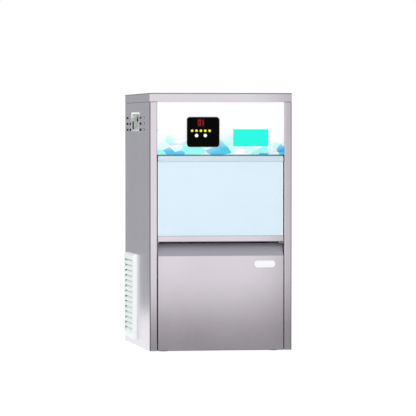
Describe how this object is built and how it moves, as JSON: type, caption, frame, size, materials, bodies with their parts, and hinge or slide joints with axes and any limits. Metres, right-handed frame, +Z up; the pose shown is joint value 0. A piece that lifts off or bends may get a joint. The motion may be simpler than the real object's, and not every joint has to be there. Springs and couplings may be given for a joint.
{
  "type": "flake ice machine",
  "caption": "Upright stainless flake ice machine with a flip-up bin door, keypad panel, louvred side grilles, carry handles, ice bin, auger freezer and air-cooled refrigeration unit.",
  "frame": {"origin": "On the floor under the middle of the overall box.", "axes": "+Z up, -Y out of the front with the door and keypad, +X to the right as seen from the front."},
  "size_m": [0.42, 0.5197, 0.7185],
  "materials": {
    "stainless": "fine vertical brushing, satin",
    "white_plastic": "satin moulded white",
    "printed_panel": "gloss white with a printed blue border",
    "blue_acrylic": "gloss pale blue",
    "pale_rail": "satin pale grey blue",
    "black_plastic": "satin black",
    "rubber": "matt",
    "foam": "rigid foam",
    "display": "dark red window",
    "lamp_yellow": "clear yellow",
    "circuit_board": "lacquered board",
    "cast_housing": "painted casting",
    "motor_paint": "semi-matt",
    "black_paint": "semi-gloss black",
    "fan_plastic": "matt black",
    "aluminium": "mill finish",
    "copper": "drawn copper",
    "brass": "turned brass"
  },
  "bodies": {
    "cabinet": {"base_pan": "stainless", "rubber_feet": "rubber", "left_side_panel": "stainless", "right_side_panel": "stainless", "rear_panel": "stainless", "top_cover": "stainless", "lower_front_panel": "stainless", "control_fascia": "printed_panel", "left_grille": "white_plastic", "right_grille": "white_plastic", "left_carry_handle": "white_plastic", "right_carry_handle": "white_plastic", "hinge_blocks": "black_plastic", "door_stops": "rubber", "bin_liner": "white_plastic", "bin_insulation": "foam", "bin_shelf": "stainless", "bin_drain": "white_plastic", "ice_probe": "stainless", "keypad_plate": "black_plastic", "display_module": "display", "indicator_lamps": "lamp_yellow", "control_board": "circuit_board", "control_box": "white_plastic", "ice_chute": "stainless", "freezer_barrel": "stainless", "freezer_sleeve": "foam", "ice_head": "stainless", "bearing_housing": "cast_housing", "lower_bearing": "stainless", "gearbox": "cast_housing", "drive_motor": "motor_paint", "gearbox_stand": "stainless", "water_tank": "white_plastic", "tank_lid": "white_plastic", "water_inlet": "brass", "feed_hose": "white_plastic", "drain_hose": "white_plastic", "drain_outlet": "white_plastic", "compressor": "black_paint", "compressor_mounts": "rubber", "terminal_cover": "black_plastic", "condenser": "aluminium", "fan_shroud": "stainless", "fan_bracket": "stainless", "fan_motor": "motor_paint", "filter_dryer": "copper", "discharge_pipe": "copper", "liquid_pipe": "copper", "suction_pipe": "copper", "power_inlet": "black_plastic"},
    "door": {"door_panel": "blue_acrylic", "door_top_rail": "pale_rail", "door_handle_rail": "stainless"},
    "power_key": {"left_button": "white_plastic"},
    "mode_key": {"right_button": "white_plastic"},
    "fan": {"fan_blades": "fan_plastic"},
    "auger_screw": {"auger": "stainless", "ice_deflector": "white_plastic"},
    "float": {"float_lever": "white_plastic"}
  },
  "joints": [
    {"name": "door_hinge", "type": "hinge", "parent": "cabinet", "child": "door", "pos_m": [0, -0.2509, 0.5385], "axis": [-1, 0, 0], "range_deg": [0, 95]},
    {"name": "power_key_press", "type": "slide", "parent": "cabinet", "child": "power_key", "axis": [0, 1, 0], "range_m": [0, 0.0008], "stiffness_N_per_m": 400},
    {"name": "mode_key_press", "type": "slide", "parent": "cabinet", "child": "mode_key", "axis": [0, 1, 0], "range_m": [0, 0.0008], "stiffness_N_per_m": 400},
    {"name": "fan_spin", "type": "hinge", "parent": "cabinet", "child": "fan", "pos_m": [-0.134, 0.0971, 0.1002], "axis": [1, 0, 0], "continuous": true},
    {"name": "auger_spin", "type": "hinge", "parent": "cabinet", "child": "auger_screw", "pos_m": [0.08, 0.1411, 0.3235], "axis": [0, 0, 1], "continuous": true},
    {"name": "float_swing", "type": "hinge", "parent": "cabinet", "child": "float", "pos_m": [-0.095, 0.2181, 0.4225], "axis": [-1, 0, 0], "range_deg": [0, 12]}
  ]
}
